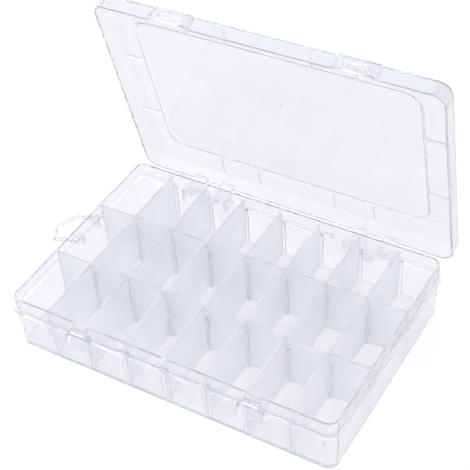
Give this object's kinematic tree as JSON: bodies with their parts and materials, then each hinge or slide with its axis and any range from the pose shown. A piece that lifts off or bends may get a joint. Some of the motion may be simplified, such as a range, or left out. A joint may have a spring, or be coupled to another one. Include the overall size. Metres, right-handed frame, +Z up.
{
  "type": "compartment organizer box",
  "caption": "Clear plastic organizer box with rows of compartments, lift-out dividers, a hinged snap lid and a hanging loop.",
  "frame": {"origin": "centre of the tray's flat underside, on the surface that it stands on", "axes": "+X along the length, +Y from the latched front to the hinged back, +Z up"},
  "size_m": [0.2176, 0.1511, 0.1561],
  "materials": {
    "clear_tray": "clear moulded polypropylene, glossy",
    "clear_lid": "clear moulded polypropylene, glossy",
    "clear_loop": "clear moulded polypropylene, glossy",
    "divider_plastic": "milky translucent polypropylene, satin"
  },
  "bodies": {
    "tray": {"base": "clear_tray"},
    "lid": {"lid": "clear_lid"},
    "loop": {"hanging_loop": "clear_loop"},
    "divider_front_1": {"divider_front_1": "divider_plastic"},
    "divider_front_2": {"divider_front_2": "divider_plastic"},
    "divider_front_3": {"divider_front_3": "divider_plastic"},
    "divider_front_4": {"divider_front_4": "divider_plastic"},
    "divider_front_5": {"divider_front_5": "divider_plastic"},
    "divider_front_6": {"divider_front_6": "divider_plastic"},
    "divider_front_7": {"divider_front_7": "divider_plastic"},
    "divider_middle_1": {"divider_middle_1": "divider_plastic"},
    "divider_middle_2": {"divider_middle_2": "divider_plastic"},
    "divider_middle_3": {"divider_middle_3": "divider_plastic"},
    "divider_middle_4": {"divider_middle_4": "divider_plastic"},
    "divider_middle_5": {"divider_middle_5": "divider_plastic"},
    "divider_middle_6": {"divider_middle_6": "divider_plastic"},
    "divider_middle_7": {"divider_middle_7": "divider_plastic"},
    "divider_back_1": {"divider_back_1": "divider_plastic"},
    "divider_back_2": {"divider_back_2": "divider_plastic"},
    "divider_back_3": {"divider_back_3": "divider_plastic"},
    "divider_back_4": {"divider_back_4": "divider_plastic"},
    "divider_back_5": {"divider_back_5": "divider_plastic"},
    "divider_back_6": {"divider_back_6": "divider_plastic"},
    "divider_back_7": {"divider_back_7": "divider_plastic"}
  },
  "joints": [
    {"name": "lid_hinge", "type": "hinge", "parent": "tray", "child": "lid", "pos_m": [0, 0.069, 0.0205], "axis": [-1, 0, 0], "range_deg": [-76, 102]},
    {"name": "loop_swivel", "type": "hinge", "parent": "tray", "child": "loop", "pos_m": [-0.0985, 0.0086, 0.0245], "axis": [0, 1, 0], "range_deg": [-71, 79]},
    {"name": "divider_front_1_lift", "type": "slide", "parent": "tray", "child": "divider_front_1", "axis": [0, 0, 1], "range_m": [0, 0.034]},
    {"name": "divider_front_2_lift", "type": "slide", "parent": "tray", "child": "divider_front_2", "axis": [0, 0, 1], "range_m": [0, 0.034]},
    {"name": "divider_front_3_lift", "type": "slide", "parent": "tray", "child": "divider_front_3", "axis": [0, 0, 1], "range_m": [0, 0.034]},
    {"name": "divider_front_4_lift", "type": "slide", "parent": "tray", "child": "divider_front_4", "axis": [0, 0, 1], "range_m": [0, 0.034]},
    {"name": "divider_front_5_lift", "type": "slide", "parent": "tray", "child": "divider_front_5", "axis": [0, 0, 1], "range_m": [0, 0.034]},
    {"name": "divider_front_6_lift", "type": "slide", "parent": "tray", "child": "divider_front_6", "axis": [0, 0, 1], "range_m": [0, 0.034]},
    {"name": "divider_front_7_lift", "type": "slide", "parent": "tray", "child": "divider_front_7", "axis": [0, 0, 1], "range_m": [0, 0.034]},
    {"name": "divider_middle_1_lift", "type": "slide", "parent": "tray", "child": "divider_middle_1", "axis": [0, 0, 1], "range_m": [0, 0.034]},
    {"name": "divider_middle_2_lift", "type": "slide", "parent": "tray", "child": "divider_middle_2", "axis": [0, 0, 1], "range_m": [0, 0.034]},
    {"name": "divider_middle_3_lift", "type": "slide", "parent": "tray", "child": "divider_middle_3", "axis": [0, 0, 1], "range_m": [0, 0.034]},
    {"name": "divider_middle_4_lift", "type": "slide", "parent": "tray", "child": "divider_middle_4", "axis": [0, 0, 1], "range_m": [0, 0.034]},
    {"name": "divider_middle_5_lift", "type": "slide", "parent": "tray", "child": "divider_middle_5", "axis": [0, 0, 1], "range_m": [0, 0.034]},
    {"name": "divider_middle_6_lift", "type": "slide", "parent": "tray", "child": "divider_middle_6", "axis": [0, 0, 1], "range_m": [0, 0.034]},
    {"name": "divider_middle_7_lift", "type": "slide", "parent": "tray", "child": "divider_middle_7", "axis": [0, 0, 1], "range_m": [0, 0.034]},
    {"name": "divider_back_1_lift", "type": "slide", "parent": "tray", "child": "divider_back_1", "axis": [0, 0, 1], "range_m": [0, 0.034]},
    {"name": "divider_back_2_lift", "type": "slide", "parent": "tray", "child": "divider_back_2", "axis": [0, 0, 1], "range_m": [0, 0.034]},
    {"name": "divider_back_3_lift", "type": "slide", "parent": "tray", "child": "divider_back_3", "axis": [0, 0, 1], "range_m": [0, 0.034]},
    {"name": "divider_back_4_lift", "type": "slide", "parent": "tray", "child": "divider_back_4", "axis": [0, 0, 1], "range_m": [0, 0.034]},
    {"name": "divider_back_5_lift", "type": "slide", "parent": "tray", "child": "divider_back_5", "axis": [0, 0, 1], "range_m": [0, 0.034]},
    {"name": "divider_back_6_lift", "type": "slide", "parent": "tray", "child": "divider_back_6", "axis": [0, 0, 1], "range_m": [0, 0.034]},
    {"name": "divider_back_7_lift", "type": "slide", "parent": "tray", "child": "divider_back_7", "axis": [0, 0, 1], "range_m": [0, 0.034]}
  ]
}
